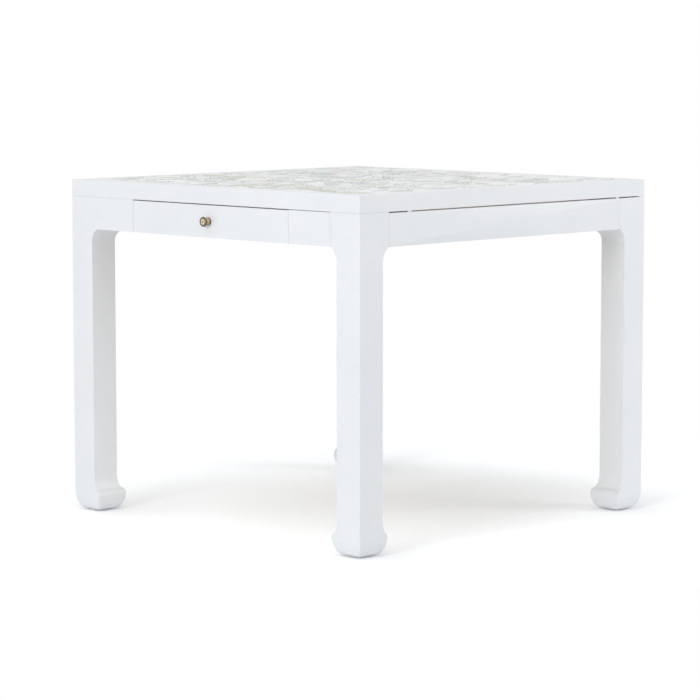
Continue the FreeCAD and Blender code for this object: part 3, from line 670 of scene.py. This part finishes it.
class GAMESTABLE_OT_legs(bpy.types.Operator):
    """Carves the four legs with their shoulders and hoof feet"""

    bl_idname = "games_table.legs"
    bl_label = "Legs"

    def execute(self, context):
        sizes = context.scene.games_table_legs
        corner = Vector((edge("lipping_left", 0, 0), edge("lipping_front", 0, 1), 0))
        for quarters, place in enumerate(("front_left", "front_right", "back_right", "back_left")):
            rings = leg_rings(sizes, quarters % 2 == 0) + np.array(corner)
            piece = closed_surface("carved_leg_" + place, turned(rings, quarters))
            finish_piece(piece, "table", "white_lacquer", lacquer(), "leg_" + place)
        return {"FINISHED"}


class GAMESTABLE_OT_aprons(bpy.types.Operator):
    """Fits the six apron boards with their edges eased"""

    bl_idname = "games_table.aprons"
    bl_label = "Aprons"

    def execute(self, context):
        sizes = context.scene.games_table_boards
        for place in ("right", "left", "front_left", "front_right", "back_left", "back_right"):
            low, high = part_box("apron_" + place)
            long_one = place in ("right", "left")
            along = 1 if long_one else 0
            low[along] += sizes.joint_gap
            high[along] -= sizes.joint_gap
            easing = sizes.easing if long_one else sizes.easing / 2
            piece = closed_surface("eased_apron_" + place, eased_board(low, high, easing))
            finish_piece(piece, "table", "white_lacquer", lacquer(), "apron_" + place)
        return {"FINISHED"}


# Top


def lipping_rings(sizes):
    """The front edge strip of the top, with rounded outer edges and mitred ends.

    A section through the strip, d in from the outer face and z up, is carried along x and
    scaled to x = s (half - d), so that its ends lie on the mitre. Over the last radius the
    outer face turns an eighth of a circle round the table's corner, which moves d in by
    radius (1 - cos a).
    """
    low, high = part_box("lipping_front")
    half = high.x
    width = high.y - low.y
    radius = sizes.easing
    lower = arc((radius, low.z + radius), radius, 180, 270, 5)
    upper = arc((radius, high.z - radius), radius, 90, 180, 5)
    inner_side = np.array([[width, low.z], [width, high.z]])
    section = np.concatenate([lower, inner_side, upper])
    bend = np.radians(np.linspace(0, 45, 4))
    sunk = radius * (1 - np.cos(bend))
    share = (half - radius + radius * np.sin(bend)) / (half - sunk)
    share = np.concatenate([-share[::-1], share]) * (1 - sizes.mitre_gap / half)
    sunk = np.concatenate([sunk[::-1], sunk])
    depth = sunk[:, None] + section[:, 0] * (width - sunk[:, None]) / width
    x = share[:, None] * (half - depth)
    y = depth - half
    z = np.broadcast_to(section[:, 1], x.shape)
    return np.stack([x, y, z], axis=-1)


class GAMESTABLE_OT_top(bpy.types.Operator):
    """Lays the patterned panel and its four mitred edge strips"""

    bl_idname = "games_table.top"
    bl_label = "Top"

    def execute(self, context):
        sizes = context.scene.games_table_boards
        for quarters, place in enumerate(("front", "right", "back", "left")):
            rings = turned(lipping_rings(sizes), quarters)
            piece = closed_surface("mitred_lipping_" + place, rings)
            finish_piece(piece, "table", "white_lacquer", lacquer(), "lipping_" + place)
        low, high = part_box("top_inlay")
        panel = closed_surface("patterned_panel", eased_board(low, high, sizes.inlay_easing))
        print_material = material("printed_panel_under_lacquer", printed_panel_under_lacquer)
        finish_piece(panel, "table", "patterned_panel", print_material, "top_inlay")
        ease_node("top_core", sizes.bevel, wood_along("x"))
        return {"FINISHED"}


# Carriage and drawers


class GAMESTABLE_OT_carriage(bpy.types.Operator):
    """Finishes the hidden woodwork: guides, rail, runners, corner blocks, slips and dowels"""

    bl_idname = "games_table.carriage"
    bl_label = "Carriage"

    def execute(self, context):
        bevel = context.scene.games_table_boards.bevel
        grains = {"guide_right": "y", "guide_left": "y", "middle_rail": "x",
                  "runner_front_right": "y", "runner_front_left": "y",
                  "runner_back_right": "y", "runner_back_left": "y",
                  "corner_block_front_left": "up_left", "corner_block_back_right": "up_left",
                  "corner_block_front_right": "up_right", "corner_block_back_left": "up_right"}
        for name, grain in grains.items():
            ease_node(name, bevel, wood_along(grain))
        ease_node("top_spacers", bevel / 2, lacquer())
        ease_node("dowels", bevel, wood_along("x"))
        return {"FINISHED"}


class GAMESTABLE_OT_drawers(bpy.types.Operator):
    """Finishes both drawers: lacquered faces, and boxes of planed wood"""

    bl_idname = "games_table.drawers"
    bl_label = "Drawers"

    def execute(self, context):
        bevel = context.scene.games_table_boards.bevel
        for end in ("front_", "back_"):
            ease_node(end + "drawer_face", bevel / 2, lacquer())
            ease_node(end + "drawer_side_left", bevel / 2, wood_along("y"))
            ease_node(end + "drawer_side_right", bevel / 2, wood_along("y"))
            ease_node(end + "drawer_back", bevel / 2, wood_along("x"))
            ease_node(end + "drawer_bottom", bevel / 4, wood_along("x"))
        return {"FINISHED"}


# Knobs


def knob_profile(sizes):
    """Half section of a knob as radius and distance out from the drawer's face.

    The flange's edge, the hollow waist and the rim are arcs of circles. The disc is a shallow
    swell, by a sine, and the dimple in its middle is a quarter of an ellipse half as deep as wide.
    """
    flange_edge = 0.0008
    waist_radius = 0.0062
    waist_out = 0.0072
    lip_radius = 0.0003
    swell = 0.00028
    disc_level = sizes.projection - sizes.recess
    return np.concatenate([
        [[sizes.base, 0.0], [sizes.base, sizes.base_thickness * 0.4]],
        arc((sizes.base - flange_edge, sizes.base_thickness * 0.6), flange_edge, 0, 80, 5),
        arc((sizes.neck + waist_radius, waist_out), waist_radius, 218, 128, 14),
        arc((sizes.head - sizes.rim, sizes.projection - sizes.rim), sizes.rim, -80, 100, 22),
        arc((sizes.disc, disc_level + 0.0002), lip_radius, 30, -90, 5)[1:],
        np.stack([np.linspace(sizes.disc - 0.0005, sizes.dimple + 0.0003, 8),
                  disc_level + swell * np.sin(np.linspace(0.3, 2.9, 8))], axis=-1),
        arc((0.0, disc_level), sizes.dimple, 0, -83, 9) * [1, 0.5] + [0, disc_level * 0.5],
    ])


class GAMESTABLE_OT_knobs(bpy.types.Operator):
    """Turns the two brass knobs"""

    bl_idname = "games_table.knobs"
    bl_label = "Knobs"

    def execute(self, context):
        sizes = context.scene.games_table_knobs
        profile = knob_profile(sizes)
        brass = material("turned_antique_brass", turned_antique_brass)
        round_it = np.linspace(0, 2 * math.pi, 64, endpoint=False)
        face = edge("front_drawer_face", 0, 1)
        rings = np.empty((len(profile), 64, 3))
        rings[..., 0] = sizes.aside + profile[:, :1] * np.cos(round_it)
        rings[..., 1] = face - profile[:, 1:]
        rings[..., 2] = sizes.height + profile[:, :1] * np.sin(round_it)
        for quarters, end in ((0, "front"), (2, "back")):
            piece = closed_surface("turned_knob_" + end, turned(rings, quarters))
            finish_piece(piece, end + "_drawer", "knob_brass", brass, end + "_knob")
        return {"FINISHED"}


# Fasteners and glides


class GAMESTABLE_OT_fasteners(bpy.types.Operator):
    """Plates the screws, bolts, washers and nuts"""

    bl_idname = "games_table.fasteners"
    bl_label = "Fasteners"

    def execute(self, context):
        zinc = material("zinc_plated_steel", zinc_plated_steel)
        for name in ("hanger_bolts", "hanger_washers", "hanger_nuts", "block_screws", "top_screws",
                     "runner_screws", "front_drawer_bottom_screws", "back_drawer_bottom_screws",
                     "front_knob_screw", "back_knob_screw"):
            ease_node(name, 0.0002, zinc)
        return {"FINISHED"}


class GAMESTABLE_OT_glides(bpy.types.Operator):
    """Glues the felt glides under the feet"""

    bl_idname = "games_table.glides"
    bl_label = "Glides"

    def execute(self, context):
        ease_node("foot_pads", 0.0004, material("pressed_wool_felt", pressed_wool_felt))
        return {"FINISHED"}


# Stage


def white_for_the_camera(tree):
    """1 for rays from the camera, from gloss and through glass, and 0 for light itself."""
    rays = add(tree, "LightPath")
    seen = rays.outputs["Is Camera Ray"]
    for kind in ("Is Glossy Ray", "Is Transmission Ray"):
        seen = add(tree, "Math", {0: seen, 1: rays.outputs[kind]}, operation="MAXIMUM")
    return seen


def pale_floor(settings):
    """Plain matt floor that reads as white to the camera and keeps the table's shadow.

    A glow lifts it to white. The glow is least in the middle of the shadow, and far from the
    table the floor turns to even white, both by the distance from a point under the table. The
    glow sinks where a foot stands close on the left, which draws the short shadow at each foot.
    For light rays the glow is weak and ends near the table: it stands for the light that a wide
    pale floor throws back at the legs.
    """
    shadow_middle = (0.02, 0.284, 0.0)
    shadow_radius = 0.63
    shadow_share = 0.56
    feet_side = (-0.8, -0.2, 0.5)
    feet_reach = 0.2
    contact_power = 2.4
    contact_least = 0.4
    bounce = 0.12
    bounce_near, bounce_end = 0.5, 1.2
    white_near, white_beyond = 0.9, 1.2
    material, tree, place = blank_material("pale_floor")
    seen = white_for_the_camera(tree)
    matt = add(tree, "BsdfDiffuse", {"Color": settings.floor})
    centred = add(tree, "VectorMath", {0: place, 1: shadow_middle}, operation="SUBTRACT")
    away = add(tree, "VectorMath", {0: centred}, operation="LENGTH").outputs["Value"]
    level = add(tree, "MapRange",
                {"Value": away, 1: 0.0, 2: shadow_radius, 3: shadow_share * settings.floor_lift,
                 4: settings.floor_lift}, interpolation_type="SMOOTHSTEP")
    thrown = add(tree, "MapRange", {"Value": away, 1: bounce_near, 2: bounce_end, 3: bounce, 4: 0.0},
                 interpolation_type="SMOOTHSTEP")
    bare = add(tree, "Mix", {0: seen, 2: thrown, 3: level})
    aside = add(tree, "VectorMath", {0: feet_side}, operation="NORMALIZE")
    open_side = add(tree, "AmbientOcclusion", {"Normal": aside, "Distance": feet_reach},
                    samples=12)
    contact = add(tree, "Math", {0: open_side.outputs["AO"], 1: contact_power},
                  operation="POWER")
    contact = add(tree, "MapRange", {"Value": contact, 3: contact_least, 4: 1.0})
    lift = add(tree, "Math", {0: bare, 1: contact}, operation="MULTIPLY")
    glow = add(tree, "Emission", {"Color": (0.98, 1.0, 1.02, 1.0), "Strength": lift})
    near = add(tree, "AddShader", {0: matt, 1: glow})
    fade = add(tree, "MapRange", {"Value": away, 1: white_near, 2: white_beyond},
               interpolation_type="SMOOTHSTEP")
    share = add(tree, "Math", {0: fade, 1: seen}, operation="MULTIPLY")
    both = add(tree, "MixShader", {0: share, 1: near, 2: add(tree, "Emission")})
    add(tree, "OutputMaterial", {"Surface": both})
    return material


def soft_lamp(name, place, target, across, power):
    lamp = bpy.data.lights.new(name, "AREA")
    lamp.shape = "DISK"
    lamp.size = across
    lamp.energy = power
    holder = bpy.data.objects.new(name, lamp)
    bpy.context.scene.collection.objects.link(holder)
    holder.location = place
    holder.rotation_mode = "QUATERNION"
    holder.rotation_quaternion = (Vector(target) - Vector(place)).to_track_quat("-Z", "Y")


class GAMESTABLE_OT_stage(bpy.types.Operator):
    """Lays the floor and sets the soft light, the white background and the camera"""

    bl_idname = "games_table.stage"
    bl_label = "Stage"

    def execute(self, context):
        scene = context.scene
        settings = scene.games_table_stage
        reach = 40.0
        mesh = bpy.data.meshes.new("floor")
        mesh.from_pydata([(-reach, -reach, 0), (reach, -reach, 0), (reach, reach, 0),
                          (-reach, reach, 0)], [], [(0, 1, 2, 3)])
        floor = bpy.data.objects.new("floor", mesh)
        scene.collection.objects.link(floor)
        floor.data.materials.append(pale_floor(settings))
        world = bpy.data.worlds.new("soft white room")
        world.use_nodes = True
        world.node_tree.nodes.clear()
        scene.world = world
        tree = world.node_tree
        strength = add(tree, "MapRange", {"Value": white_for_the_camera(tree), 3: settings.ambient})
        sky = add(tree, "Background", {"Color": (1.0, 1.0, 1.0, 1.0), "Strength": strength})
        add(tree, "OutputWorld", {"Surface": sky})
        soft_lamp("overhead", (0.6, -1.3, 5.6), (0, 0, 0.4), 2.6, settings.overhead)
        soft_lamp("front", (1.25, -6.55, 2.0), (0, 0, 0.4), 3.0, settings.front)
        soft_lamp("side", (3.6, 2.6, 1.7), (0.4, 0.2, 0.4), 2.4, settings.side)
        azimuth = settings.azimuth
        elevation = settings.elevation
        right = Vector((math.cos(azimuth), math.sin(azimuth), 0))
        back = Vector((math.sin(azimuth) * math.cos(elevation),
                       -math.cos(azimuth) * math.cos(elevation), math.sin(elevation)))
        target = Vector((0, 0, settings.aim_height)) + right * settings.aim_aside
        camera = bpy.data.cameras.new("camera")
        camera.sensor_width = 36
        camera.lens = settings.focal_length
        holder = bpy.data.objects.new("camera", camera)
        scene.collection.objects.link(holder)
        holder.location = target + back * settings.distance
        holder.rotation_mode = "QUATERNION"
        holder.rotation_quaternion = (-back).to_track_quat("-Z", "Y")
        scene.camera = holder
        scene.view_settings.view_transform = "Standard"
        return {"FINISHED"}


# Add-on


GROUPS = {"games_table_legs": LegSizes, "games_table_boards": BoardSizes,
          "games_table_knobs": KnobSizes, "games_table_finishes": Finishes,
          "games_table_stage": StageSettings}
OPERATORS = (GAMESTABLE_OT_legs, GAMESTABLE_OT_aprons, GAMESTABLE_OT_top, GAMESTABLE_OT_carriage,
             GAMESTABLE_OT_drawers, GAMESTABLE_OT_knobs, GAMESTABLE_OT_fasteners,
             GAMESTABLE_OT_glides, GAMESTABLE_OT_stage)


class GAMESTABLE_PT_panel(bpy.types.Panel):
    """Lists the table's pieces with their sizes and colours"""

    bl_idname = "GAMESTABLE_PT_panel"
    bl_label = "Games Table"
    bl_space_type = "VIEW_3D"
    bl_region_type = "UI"
    bl_category = "Games Table"

    def draw(self, context):
        column = self.layout.column(align=True)
        for operator in OPERATORS:
            column.operator(operator.bl_idname)
        for name, group in GROUPS.items():
            box = self.layout.box()
            for setting in group.__annotations__:
                box.prop(getattr(context.scene, name), setting)


def register():
    for group in GROUPS.values():
        bpy.utils.register_class(group)
    for name, group in GROUPS.items():
        setattr(bpy.types.Scene, name, bpy.props.PointerProperty(type=group))
    for operator in OPERATORS:
        bpy.utils.register_class(operator)
    bpy.utils.register_class(GAMESTABLE_PT_panel)


def unregister():
    bpy.utils.unregister_class(GAMESTABLE_PT_panel)
    for operator in reversed(OPERATORS):
        bpy.utils.unregister_class(operator)
    for name, group in GROUPS.items():
        delattr(bpy.types.Scene, name)
        bpy.utils.unregister_class(group)


def main():
    register()
    bpy.ops.games_table.legs()
    bpy.ops.games_table.aprons()
    bpy.ops.games_table.top()
    bpy.ops.games_table.carriage()
    bpy.ops.games_table.drawers()
    bpy.ops.games_table.knobs()
    bpy.ops.games_table.fasteners()
    bpy.ops.games_table.glides()
    bpy.ops.games_table.stage()


if __name__ == "__main__":
    main()
